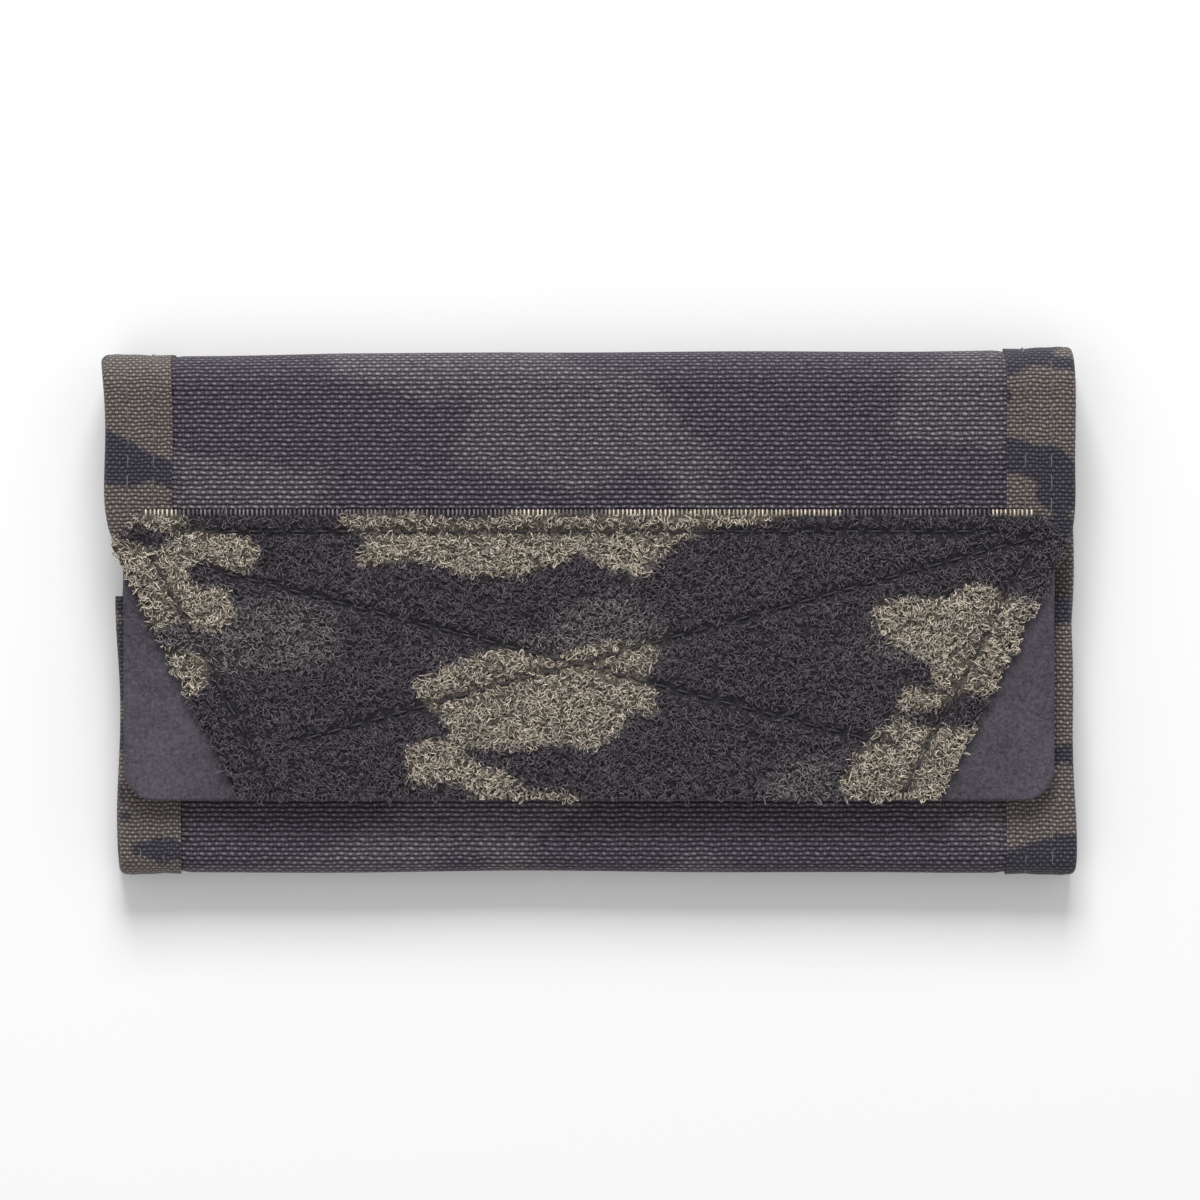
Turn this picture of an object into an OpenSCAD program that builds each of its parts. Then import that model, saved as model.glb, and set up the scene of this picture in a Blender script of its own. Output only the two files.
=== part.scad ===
// Trifold wallet of woven nylon with bound edges and a hook and loop closure.
// It lies closed on its back: X runs along the creases, Y towards the top fold,
// Z up out of the flap. The origin is the middle of the rest face. Millimetres.
//
// One long strip (outer shell, bill lining, edge bindings) is folded in three, so the
// strip is made once as a cross-section and laid along five stretches:
// back, top spine, flap, bottom spine and lower panel.

/* [Folded size] */
// Length along the creases
wallet_w = 128.6; // [120:0.1:140]
// Height from crease to crease
wallet_h = 69.5; // [68:0.1:74]
// Height of the top spine's upper crease axis above the rest face
flap_crease_z = 12.2; // [12:0.1:14]
// Height of the bottom spine's upper crease axis above the rest face
lower_crease_z = 6.0; // [6:0.1:6.5]
// Length of the lower panel from its crease axis to its free edge
lower_len = 35.5; // [30:0.5:35.5]

/* [Cloth and tape] */
// Thickness of the coated shell cloth
shell_t = 0.6; // [0.4:0.05:0.6]
// Thickness of the bill lining
lining_t = 0.4; // [0.3:0.05:0.4]
// Thickness of the folded edge tape
tape_t = 0.45; // [0.3:0.05:0.45]
// Width of one leg of the folded edge tape
tape_w = 9.2; // [8:0.1:10]
// Radius of the rolled crease beads
bead_r = 1.2; // [1.1:0.05:1.2]

/* [Card pockets] */
// Clear depth of a card pocket
card_gap = 0.8; // [0.8:0.05:0.85]
// Thickness of a pocket sheet
pocket_t = 0.3; // [0.2:0.05:0.3]
// Clear width of a card pocket, across the card
pocket_w = 59; // [56:0.5:59]
// Where the rearmost pocket's mouth stands along X
pocket_mouth_x = 44; // [40:1:44]
// Step from one pocket's mouth to the next
pocket_step = 10; // [6:1:12]
// Width of the rim round the clear window
window_rim = 8; // [6:0.5:12]

/* [Closure] */
// Thickness of the hook panel
hook_t = 1.2; // [0.8:0.1:1.2]
// Half the hook panel's width
hook_half_w = 61.3; // [58:0.1:62]
// Radius of the hook panel's lower corners
hook_corner_r = 4.3; // [2:0.1:6]
// Where the closure's lower edge stands along Y
closure_low_y = -25; // [-26:0.1:-24]
// Height of the hook panel's upper face above the rest face
closure_z = 9.8; // [9.8:0.1:10.2]
// Where the flap's cloth ends and the hook panel begins, along Y
closure_y = 9; // [8:0.5:10]
// Thickness of the loop patch, pile included
patch_t = 1.5; // [1:0.1:2]
// Top edge of the loop patch along Y
patch_top_y = 13.3; // [12:0.1:14]
// Half width of the patch at its top edge
patch_top_half = 60.5; // [56:0.1:61]
// Half width of the patch at its side points
patch_tip_half = 63; // [60:0.1:63.5]
// Half width of the patch at its bottom edge
patch_low_half = 46; // [40:0.1:50]
// Height of the mating loop strip on the lower panel
strip_t = 0.8; // [0.5:0.1:0.8]
// Width of the mating loop strip
strip_w = 17; // [14:1:17]

/* [Stitching] */
// Diameter of the sewing thread
thread_d = 0.4; // [0.2:0.05:0.5]
// Distance of the outer stitch row from the wallet's edge
row_outer = 3.2; // [2.5:0.1:3.5]
// Distance of the inner stitch row from the wallet's edge
row_inner = 6.7; // [6:0.1:7.5]
// Inset of the patch's side rows from its slanted edges
patch_row_inset = 4.2; // [3:0.1:5]

/* [Hidden] */
$fn = 48;

// Colours
cordura = "#48424e";
lining_grey = "#2e2b33";
tape_taupe = "#6b6259";
thread_grey = "#8a8478";
coated_grey = "#524e5a";
pile_grey = "#57524c";
clear_vinyl = [0.85, 0.88, 0.9, 0.4];

// Layers of the strip, as depth inwards from its outer face
layer_gap = 0.05;
flange_in = tape_t + layer_gap;
flange_out = flange_in + shell_t;
lining_in = flange_out + layer_gap;
lining_out = lining_in + lining_t;
left_depth = lining_out + layer_gap + tape_t;
right_depth = flange_out + layer_gap + tape_t;

// Stations across the strip, as distance from the middle
half_w = wallet_w / 2;
edge_in = half_w - tape_t - 0.15;
tape_in = half_w - tape_w;
plate_half = tape_in - 0.15;
flange_root = plate_half - 0.6;
lining_edge = flange_root - 0.75;
lining_tape_out = lining_edge + layer_gap + tape_t;
lining_tape_in = lining_tape_out - 8.75;

// Crease axes and the ends of the flat stretches
crease_y = wallet_h / 2 - bead_r;
crease_z = bead_r;
flat_y = crease_y - bead_r - 0.2;
spine_low_z = crease_z + bead_r + layer_gap;
top_spine_end_z = flap_crease_z - bead_r - layer_gap;
bottom_spine_end_z = lower_crease_z - bead_r - layer_gap;

// The flap slopes down from the top roll to the closure
flap_root_y = flat_y - 0.25;
flap_root_z = flap_crease_z + bead_r;
flap_slope = atan((flap_root_z - closure_z) / (flap_root_y - closure_y));
flap_len = (flap_root_y - closure_y) / cos(flap_slope);
corner_rise = 7;
corner_in = 1.4;

// Lower panel
lower_top_z = lower_crease_z + bead_r;
lower_edge_y = -crease_y + lower_len;
lower_cloth_y = lower_edge_y - tape_t - layer_gap;
strip_low_y = -24.8;
row_lower_y = -29.5;

// Card pocket heights: each sheet stands one card above the sheet below
pocket_base_z = lining_out;
pocket_rise = card_gap + pocket_t;
pocket_closed_x = -tape_in + 0.6;
pocket_wall = 1;
window_t = 0.2;

thread_h = 0.2;
eps = 0.01;

// ---- Cross-sections of the strip: across it, and inwards from its outer face ----

// Shell cloth: the middle lies at the face, the edges step in under the tape
module shell_section() {
    translate([-plate_half, 0]) square([2 * plate_half, shell_t]);
    for (side = [-1, 1]) {
        riser_x = side > 0 ? flange_root : -plate_half;
        flange_x = side > 0 ? flange_root : -edge_in;
        translate([riser_x, 0]) square([plate_half - flange_root, flange_out]);
        translate([flange_x, flange_in]) square([edge_in - flange_root, shell_t]);
    }
}

// Middle of the shell cloth alone, for the stretch beside a crease bead
module shell_middle_section() {
    translate([-plate_half, 0]) square([2 * plate_half, shell_t]);
}

// Bill lining: caught in the left tape, free at the right, where bills go in
module lining_section() {
    translate([-edge_in, lining_in]) square([edge_in + lining_edge, lining_t]);
}

// Tape folded round an edge at the right; depth is the thickness of the bound stack
module fold_section(out_x, in_x, top, depth) {
    leg = out_x - in_x;
    translate([in_x, top]) square([leg, tape_t]);
    translate([in_x, top + depth - tape_t]) square([leg, tape_t]);
    translate([out_x - tape_t, top]) square([tape_t, depth]);
}

// Edge tape of the strip, with two shallow grooves for its stitching
module binding_section(depth) {
    difference() {
        fold_section(half_w, tape_in, 0, depth);
        stitch_section();
    }
}

// Two rows of thread lying flush in the right tape's outer face
module stitch_section() {
    for (inset = [row_outer, row_inner])
        translate([half_w - inset - thread_d / 2, 0]) square([thread_d, thread_h]);
}

// Tape folded round the lining's free edge
module lining_binding_section() {
    fold_section(lining_tape_out, lining_tape_in,
        lining_in - tape_t, lining_t + 2 * tape_t + layer_gap);
}

// ---- Where the strip runs: each lays a cross-section along one stretch ----

// Back: faces down
module along_back() {
    translate([0, flat_y, 0])
        rotate([90, 0, 0])
            linear_extrude(2 * flat_y)
                children();
}

// Top spine: faces +Y, between two heights
module along_top_spine(low, high) {
    translate([0, crease_y + bead_r, low])
        mirror([0, 1, 0])
            linear_extrude(high - low)
                children();
}

// Bottom spine: faces -Y, between two heights
module along_bottom_spine(low, high) {
    translate([0, -crease_y - bead_r, low])
        linear_extrude(high - low)
            children();
}

// Lower panel: faces up, from its crease to its free edge
module along_lower() {
    translate([0, lower_cloth_y, lower_top_z])
        mirror([0, 0, 1])
            rotate([90, 0, 0])
                linear_extrude(lower_cloth_y + flat_y)
                    children();
}

// Flap: faces up and slopes down from the top roll, its free corners eased inwards
module along_flap() {
    intersection() {
        translate([0, flap_root_y, flap_root_z])
            rotate([flap_slope, 0, 0])
                mirror([0, 0, 1])
                    rotate([90, 0, 0])
                        linear_extrude(flap_len)
                            children();
        linear_extrude(2 * flap_crease_z)
            flap_outline();
    }
}

// Plan of the flap's cloth
module flap_outline() {
    polygon([
        [-half_w + corner_in, 0], [half_w - corner_in, 0],
        [half_w - corner_in, closure_y], [half_w, closure_y + corner_rise],
        [half_w, wallet_h / 2], [-half_w, wallet_h / 2],
        [-half_w, closure_y + corner_rise], [-half_w + corner_in, closure_y]
    ]);
}

// Rolled crease: a bead round the crease axis between two stations along X
module bead(from_x, to_x, y, z) {
    translate([from_x, y, z])
        rotate([0, 90, 0])
            cylinder(r = bead_r, h = to_x - from_x);
}

// ---- Back ----

module shell_back() {
    color(cordura) along_back() shell_section();
}

module lining_back() {
    color(lining_grey) along_back() lining_section();
}

module binding_left_back() {
    color(tape_taupe) along_back() mirror([1, 0]) binding_section(left_depth);
}

module binding_right_back() {
    color(tape_taupe) along_back() binding_section(right_depth);
}

module lining_binding_back() {
    color(tape_taupe) along_back() lining_binding_section();
}

module stitches_back() {
    color(thread_grey) along_back() {
        stitch_section();
        mirror([1, 0]) stitch_section();
    }
}

// Card pocket: a sheet over three low walls, open towards +X; level counts from the lining
module card_pocket(level) {
    base = pocket_base_z + level * pocket_rise;
    length = pocket_mouth_x - level * pocket_step - pocket_closed_x;
    width = pocket_w + 2 * pocket_wall;
    translate([pocket_closed_x, -width / 2, base])
        difference() {
            cube([length, width, pocket_rise]);
            translate([pocket_wall, pocket_wall, -eps])
                cube([length, pocket_w, card_gap + eps]);
        }
}

// Opening of the clear window in the foremost pocket's sheet
module window_cut(height, low) {
    length = pocket_mouth_x - 2 * pocket_step - pocket_closed_x;
    translate([pocket_closed_x + window_rim, -pocket_w / 2 + window_rim, low])
        cube([length - 2 * window_rim, pocket_w - 2 * window_rim, height]);
}

module card_pocket_rear() {
    color(lining_grey) card_pocket(0);
}

module card_pocket_front() {
    color(lining_grey) card_pocket(1);
}

module id_pocket() {
    sheet_z = pocket_base_z + 2 * pocket_rise + card_gap;
    color(lining_grey)
        difference() {
            card_pocket(2);
            window_cut(pocket_t + 2 * eps, sheet_z - eps);
        }
}

module id_window() {
    sheet_z = pocket_base_z + 2 * pocket_rise + card_gap;
    color(clear_vinyl) window_cut(window_t, sheet_z + (pocket_t - window_t) / 2);
}

// ---- Top spine ----

module shell_top_spine() {
    color(cordura) {
        along_top_spine(crease_z, flap_crease_z) shell_middle_section();
        along_top_spine(spine_low_z, top_spine_end_z) shell_section();
        bead(-plate_half, plate_half, crease_y, crease_z);
        bead(-plate_half, plate_half, crease_y, flap_crease_z);
    }
}

module lining_top_spine() {
    color(lining_grey) along_top_spine(spine_low_z, top_spine_end_z) lining_section();
}

// Tape round one edge of the top spine, made at the right
module binding_top_spine(depth) {
    color(tape_taupe) {
        along_top_spine(crease_z, flap_crease_z) binding_section(depth);
        bead(tape_in, half_w, crease_y, crease_z);
        bead(tape_in, half_w, crease_y, flap_crease_z);
    }
}

module binding_left_top_spine() {
    mirror([1, 0, 0]) binding_top_spine(left_depth);
}

module binding_right_top_spine() {
    binding_top_spine(right_depth);
}

module lining_binding_top_spine() {
    color(tape_taupe) along_top_spine(spine_low_z, top_spine_end_z) lining_binding_section();
}

module stitches_top_spine() {
    color(thread_grey) along_top_spine(spine_low_z, top_spine_end_z) {
        stitch_section();
        mirror([1, 0]) stitch_section();
    }
}

// ---- Flap ----

module shell_flap() {
    color(cordura) along_flap() shell_section();
}

module lining_flap() {
    color(lining_grey) along_flap() lining_section();
}

module binding_left_flap() {
    color(tape_taupe) along_flap() mirror([1, 0]) binding_section(left_depth);
}

module binding_right_flap() {
    color(tape_taupe) along_flap() binding_section(right_depth);
}

module lining_binding_flap() {
    color(tape_taupe) along_flap() lining_binding_section();
}

module stitches_flap() {
    color(thread_grey) along_flap() {
        stitch_section();
        mirror([1, 0]) stitch_section();
    }
}

// Hook panel: coated back upwards, hooks downwards, lower corners rounded
module hook_panel() {
    straight_y = closure_low_y + hook_corner_r;
    corner_x = hook_half_w - hook_corner_r;
    color(coated_grey)
        translate([0, 0, closure_z - hook_t])
            linear_extrude(hook_t) {
                translate([-hook_half_w, straight_y])
                    square([2 * hook_half_w, closure_y - 0.4 - straight_y]);
                translate([-corner_x, closure_low_y])
                    square([2 * corner_x, hook_corner_r + eps]);
                for (x = [-corner_x, corner_x])
                    translate([x, straight_y]) circle(r = hook_corner_r);
            }
}

// Plan of the loop patch, six corners
module patch_outline() {
    polygon([
        [-patch_low_half, closure_low_y + 0.2], [patch_low_half, closure_low_y + 0.2],
        [patch_tip_half, closure_y], [patch_top_half, patch_top_y],
        [-patch_top_half, patch_top_y], [-patch_tip_half, closure_y]
    ]);
}

// Side view of the patch: flat on the closure, then up the flap's slope
module patch_side(low, high) {
    rise = (patch_top_y - closure_y) * tan(flap_slope);
    rotate([90, 0, 90])
        linear_extrude(2 * half_w, center = true)
            polygon([
                [closure_low_y, closure_z + low], [closure_y, closure_z + low],
                [patch_top_y, closure_z + rise + low], [patch_top_y, closure_z + rise + high],
                [closure_y, closure_z + high], [closure_low_y, closure_z + high]
            ]);
}

// Plan of the patch's stitch rows: two crossed diagonals and a row beside each slanted edge
module patch_rows(width) {
    low_y = closure_low_y + 0.2;
    lean = atan((patch_tip_half - patch_low_half) / (closure_y - low_y));
    diagonals = [[[-51, 5.8], [39.6, -17.6]], [[58, 9.5], [-38, -17]]];
    for (ends = diagonals)
        row(ends[0], ends[1], width);
    for (side = [-1, 1])
        row([side * (patch_low_half - patch_row_inset / cos(lean)), low_y + 1],
            [side * (patch_tip_half - patch_row_inset / cos(lean)), closure_y], width);
}

// One straight row between two points
module row(from, to, width) {
    span = to - from;
    translate(from)
        rotate(atan2(span[1], span[0]))
            translate([0, -width / 2])
                square([norm(span), width]);
}

// Hook and loop closure's pile side, sewn over the flap's end and the hook panel
module loop_patch() {
    color(pile_grey)
        difference() {
            intersection() {
                patch_side(0, patch_t);
                linear_extrude(2 * flap_crease_z) patch_outline();
            }
            translate([0, 0, closure_z + patch_t / 2])
                linear_extrude(patch_t) patch_rows(2 * thread_d);
        }
}

module patch_stitches() {
    color(thread_grey)
        translate([0, 0, closure_z + patch_t / 2])
            linear_extrude(thread_h) patch_rows(thread_d);
}

// ---- Bottom spine ----

module shell_bottom_spine() {
    color(cordura) {
        along_bottom_spine(crease_z, lower_crease_z) shell_middle_section();
        along_bottom_spine(spine_low_z, bottom_spine_end_z) shell_section();
        bead(-plate_half, plate_half, -crease_y, crease_z);
        bead(-plate_half, plate_half, -crease_y, lower_crease_z);
    }
}

module lining_bottom_spine() {
    color(lining_grey) along_bottom_spine(spine_low_z, bottom_spine_end_z) lining_section();
}

// Tape round one edge of the bottom spine, made at the right
module binding_bottom_spine(depth) {
    color(tape_taupe) {
        along_bottom_spine(crease_z, lower_crease_z) binding_section(depth);
        bead(tape_in, half_w, -crease_y, crease_z);
        bead(tape_in, half_w, -crease_y, lower_crease_z);
    }
}

module binding_left_bottom_spine() {
    mirror([1, 0, 0]) binding_bottom_spine(left_depth);
}

module binding_right_bottom_spine() {
    binding_bottom_spine(right_depth);
}

module lining_binding_bottom_spine() {
    color(tape_taupe)
        along_bottom_spine(spine_low_z, bottom_spine_end_z) lining_binding_section();
}

module stitches_bottom_spine() {
    color(thread_grey) along_bottom_spine(spine_low_z, bottom_spine_end_z) {
        stitch_section();
        mirror([1, 0]) stitch_section();
    }
}

// ---- Lower panel ----

module shell_lower() {
    color(cordura) along_lower() shell_section();
}

module lining_lower() {
    color(lining_grey) along_lower() lining_section();
}

module binding_left_lower() {
    color(tape_taupe) along_lower() mirror([1, 0]) binding_section(left_depth);
}

module binding_right_lower() {
    color(tape_taupe) along_lower() binding_section(right_depth);
}

module lining_binding_lower() {
    color(tape_taupe) along_lower() lining_binding_section();
}

module stitches_lower() {
    color(thread_grey) along_lower() {
        stitch_section();
        mirror([1, 0]) stitch_section();
    }
}

// Tape folded round the lower panel's free edge, between the two side tapes
module end_binding_lower() {
    low_x = -tape_in + 0.15;
    high_x = lining_tape_in - 0.15;
    stack = lining_out;
    color(tape_taupe)
        translate([low_x, 0, 0])
            rotate([90, 0, 90])
                linear_extrude(high_x - low_x)
                    translate([0, lower_top_z + layer_gap + tape_t])
                        mirror([0, 1])
                            fold_section(lower_edge_y, lower_edge_y - 7.5, 0,
                                stack + 2 * tape_t + 2 * layer_gap);
}

// Single row of stitches along the lower panel, near its crease
module stitch_row_lower() {
    color(thread_grey)
        translate([-plate_half + 1, row_lower_y - thread_d / 2, lower_top_z])
            cube([2 * plate_half - 2, thread_d, thread_h]);
}

// Mating loop strip, under the closed hook panel
module loop_strip() {
    half = plate_half - 2;
    color(pile_grey)
        translate([-half, strip_low_y, lower_top_z])
            cube([2 * half, strip_w, strip_t]);
}

shell_back();
lining_back();
binding_left_back();
binding_right_back();
lining_binding_back();
stitches_back();
card_pocket_rear();
card_pocket_front();
id_pocket();
id_window();
shell_top_spine();
lining_top_spine();
binding_left_top_spine();
binding_right_top_spine();
lining_binding_top_spine();
stitches_top_spine();
shell_flap();
lining_flap();
binding_left_flap();
binding_right_flap();
lining_binding_flap();
stitches_flap();
hook_panel();
loop_patch();
patch_stitches();
shell_bottom_spine();
lining_bottom_spine();
binding_left_bottom_spine();
binding_right_bottom_spine();
lining_binding_bottom_spine();
stitches_bottom_spine();
shell_lower();
lining_lower();
binding_left_lower();
binding_right_lower();
lining_binding_lower();
end_binding_lower();
stitches_lower();
stitch_row_lower();
loop_strip();
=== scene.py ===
import math

import bpy
import numpy as np
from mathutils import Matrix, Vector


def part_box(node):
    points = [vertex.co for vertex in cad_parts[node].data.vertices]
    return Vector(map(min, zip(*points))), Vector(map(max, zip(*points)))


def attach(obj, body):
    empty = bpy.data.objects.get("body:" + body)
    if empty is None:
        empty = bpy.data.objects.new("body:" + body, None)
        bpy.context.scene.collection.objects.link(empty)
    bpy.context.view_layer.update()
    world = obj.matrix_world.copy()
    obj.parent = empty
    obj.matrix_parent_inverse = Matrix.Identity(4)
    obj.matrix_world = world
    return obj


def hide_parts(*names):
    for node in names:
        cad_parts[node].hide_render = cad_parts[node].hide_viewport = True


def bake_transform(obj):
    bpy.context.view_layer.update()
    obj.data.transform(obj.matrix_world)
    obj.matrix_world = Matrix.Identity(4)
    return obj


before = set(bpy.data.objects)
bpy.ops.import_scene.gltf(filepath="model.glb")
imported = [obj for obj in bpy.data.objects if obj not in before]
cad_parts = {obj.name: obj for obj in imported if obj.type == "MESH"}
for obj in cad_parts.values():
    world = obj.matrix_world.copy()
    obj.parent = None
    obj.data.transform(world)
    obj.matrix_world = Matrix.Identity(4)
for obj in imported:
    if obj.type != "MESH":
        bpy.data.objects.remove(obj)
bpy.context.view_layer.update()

# ---------------------------------------------------------------------------
# Outer shell: coated plain-weave nylon in thick two-ply yarns, printed with a faint, broad
# camouflage. It is one long strip folded in three. Cloth, tape and thread are laid along
# that fold in flat millimetres: x across, s along, and depth inwards from the outer face.
# ---------------------------------------------------------------------------


def node_box(node):
    """A CAD node's lowest and highest corners in millimetres."""
    low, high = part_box(node)
    return np.array(low) * 1000, np.array(high) * 1000


half_width = node_box("binding_right_back")[1][0]
tape_edge = node_box("binding_right_back")[0][0]
crease_out = node_box("shell_top_spine")[1][1]
lower_face = node_box("shell_bottom_spine")[1][2]
lower_end = node_box("end_binding_lower")[1][1]
flap_end = node_box("shell_flap")[0][1]
closure_face = node_box("hook_panel")[1][2]
root_z = node_box("shell_top_spine")[1][2]
root_y = node_box("shell_flap")[1][1]
flap_rise = (root_z - closure_face) / (root_y - flap_end)


def folded_line(corners, radii, spacing):
    """Straight runs between the corners, each inner corner rounded by an arc that touches
    both runs, then resampled to even spacing. The inward normal is the tangent turned a
    quarter left. Returns points, inward normals and the running length."""
    corners = np.array(corners, float)
    points = [corners[0]]
    for before, corner, after, radius in zip(corners, corners[1:], corners[2:], radii):
        back = (before - corner) / np.linalg.norm(before - corner)
        on = (after - corner) / np.linalg.norm(after - corner)
        half = math.acos(back @ on) / 2
        centre = corner + (back + on) / np.linalg.norm(back + on) * radius / math.sin(half)
        first = corner + back * radius / math.tan(half) - centre
        last = corner + on * radius / math.tan(half) - centre
        turn = np.linspace(0, 1, 40)[:, None]
        sweep = math.pi - 2 * half
        arc = first * np.sin((1 - turn) * sweep) + last * np.sin(turn * sweep)
        points.extend(centre + arc / math.sin(sweep))
    points.append(corners[-1])
    points = np.array(points)
    length = np.concatenate([[0], np.cumsum(np.linalg.norm(np.diff(points, axis=0), axis=1))])
    even = np.linspace(0, length[-1], int(length[-1] / spacing) + 1)
    points = np.stack([np.interp(even, length, points[:, k]) for k in (0, 1)], 1)
    tangent = np.gradient(points, even, axis=0)
    tangent /= np.linalg.norm(tangent, axis=1)[:, None]
    return points, np.stack([-tangent[:, 1], tangent[:, 0]], 1), even


line, inward, run = folded_line(
    [(lower_end, lower_face), (-crease_out, lower_face), (-crease_out, 0), (crease_out, 0),
     (crease_out, closure_face + (crease_out - flap_end) * flap_rise),
     (flap_end, closure_face)],
    radii=(3.0, 3.0, 3.2, 4.4), spacing=0.2)
run_end = run[-1]


def run_at(y, z):
    """The running length of the strip's point nearest to a place in the YZ plane."""
    return run[np.argmin((line[:, 0] - y) ** 2 + (line[:, 1] - z) ** 2)]


# Each stretch bends across one crease: its two bodies, its ends along the strip, and the
# places where the bend starts and finishes.
bend, flap_bend = 3.6, 6
low_split = run_at(-crease_out, lower_face / 2)
high_split = run_at(crease_out, root_z * 0.46)
stretches = {
    "lower": ("bottom_spine", "lower_panel", 0, low_split,
              (-crease_out, lower_face - bend), (-crease_out + bend, lower_face)),
    "bottom": ("back", "bottom_spine", low_split, run_at(0, 0),
               (-crease_out + bend, 0), (-crease_out, bend)),
    "top": ("back", "top_spine", run_at(0, 0), high_split,
            (crease_out - bend, 0), (crease_out, bend)),
    "flap": ("top_spine", "flap", high_split, run_end,
             (crease_out, root_z - flap_bend), (crease_out - flap_bend, root_z)),
}
stretch_nodes = {"lower": ["lower"], "bottom": ["back", "bottom_spine"],
                 "top": ["top_spine"], "flap": ["flap"]}


def lay(x, s, depth):
    """Flat strip coordinates to space. The side edges wander by a few tenths of a
    millimetre, near the flap's free end they draw in along a quarter-round, and below the
    flap the strip was cut a little narrow at its left."""
    x, s, depth = np.broadcast_arrays(np.asarray(x, float), s, depth)
    rounded = 8
    to_end = np.clip((rounded - (run_end - s)) / rounded, 0, 1)
    side = np.clip((np.abs(x) - 30) / (half_width - 30), 0, 1.1) ** 2
    wander = 0.28 * np.sin(s / 9.0 + np.sign(x)) + 0.15 * np.sin(s / 3.7 + 2 * np.sign(x))
    narrow = 1.8 * np.clip((run_at(crease_out, root_z * 0.7) - s) / 15, 0, 1) * (x < 0)
    drawn = 0.3 + 1.7 * (1 - np.sqrt(1 - 0.97 * to_end**2)) + wander + narrow
    x = x - np.sign(x) * side * drawn
    swell = 0.12 * np.sin(x / 17 + s / 21) + 0.08 * np.sin(x / 7.3 - s / 11)
    place = depth + np.clip(swell, -0.1, 0.2) * (np.abs(s - run_at(0, 0)) > 34)
    y = np.interp(s, run, line[:, 0]) + place * np.interp(s, run, inward[:, 0])
    y = y - 0.45 * np.clip((y - 18) / 16, 0, 1) * (1 - x / half_width)
    z = np.interp(s, run, line[:, 1]) + place * np.interp(s, run, inward[:, 1])
    return np.stack([x, y, np.maximum(z, 0.02)], -1)


class Shade:
    """A number that a material works out at each point; arithmetic adds the node for it."""

    def __init__(self, tree, socket):
        self.tree, self.socket = tree, socket

    def math(self, operation, *others):
        node = self.tree.nodes.new("ShaderNodeMath")
        node.operation = operation
        for place, value in enumerate((self, *others)):
            if isinstance(value, Shade):
                self.tree.links.new(value.socket, node.inputs[place])
            else:
                node.inputs[place].default_value = value
        return Shade(self.tree, node.outputs[0])

    def __add__(self, other):
        return self.math("ADD", other)

    def __sub__(self, other):
        return self.math("SUBTRACT", other)

    def __mul__(self, other):
        return self.math("MULTIPLY", other)


def new_material(name, roughness, sheen=0.0):
    """An empty material with its shader; returns the material, its tree and the shader."""
    material = bpy.data.materials.new(name)
    material.use_nodes = True
    tree = material.node_tree
    shader = tree.nodes["Principled BSDF"]
    shader.inputs["Roughness"].default_value = roughness
    shader.inputs["Sheen Weight"].default_value = sheen
    shader.inputs["Sheen Roughness"].default_value = 0.5
    shader.inputs["Specular IOR Level"].default_value = 0.22
    return material, tree, shader


def flat_place(tree):
    """The piece's flat cloth coordinates in millimetres, as two numbers and a vector."""
    node = tree.nodes.new("ShaderNodeAttribute")
    node.attribute_name = "cloth"
    split = tree.nodes.new("ShaderNodeSeparateXYZ")
    tree.links.new(node.outputs["Vector"], split.inputs[0])
    return Shade(tree, split.outputs[0]), Shade(tree, split.outputs[1]), node.outputs["Vector"]


def point_value(tree, label):
    """A named number stored on the mesh's points."""
    node = tree.nodes.new("ShaderNodeAttribute")
    node.attribute_name = label
    return Shade(tree, node.outputs["Fac"])


def cloudy(tree, vector, scale, detail=3.0, rough=0.6):
    """Soft noise from 0 to 1; scale is in turns per unit of the vector."""
    node = tree.nodes.new("ShaderNodeTexNoise")
    node.inputs["Scale"].default_value = scale
    node.inputs["Detail"].default_value = detail
    node.inputs["Roughness"].default_value = rough
    tree.links.new(vector, node.inputs["Vector"])
    return Shade(tree, node.outputs["Fac"])


def colour_of(red, green, blue):
    """A display colour, 0 to 255, as the linear colour that a shader takes."""
    value = np.array([red, green, blue]) / 255
    linear = np.where(value <= 0.04045, value / 12.92, ((value + 0.055) / 1.055) ** 2.4)
    return (*linear.tolist(), 1.0)


def dyed(tree, amount, first, second):
    """Mixes two colours, or two colour sockets, by an amount from 0 to 1."""
    node = tree.nodes.new("ShaderNodeMix")
    node.data_type = "RGBA"
    node.clamp_factor = True
    tree.links.new(amount.socket, node.inputs["Factor"])
    for socket, value in ((node.inputs[6], first), (node.inputs[7], second)):
        if isinstance(value, tuple):
            socket.default_value = value
        else:
            tree.links.new(value, socket)
    return node.outputs[2]


def raised(tree, shader, height, distance, strength=1.0):
    """Feeds a height, in units of distance in millimetres, to the shader as bump."""
    node = tree.nodes.new("ShaderNodeBump")
    node.inputs["Strength"].default_value = strength
    node.inputs["Distance"].default_value = distance / 1000
    tree.links.new(height.socket, node.inputs["Height"])
    tree.links.new(node.outputs["Normal"], shader.inputs["Normal"])


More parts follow.
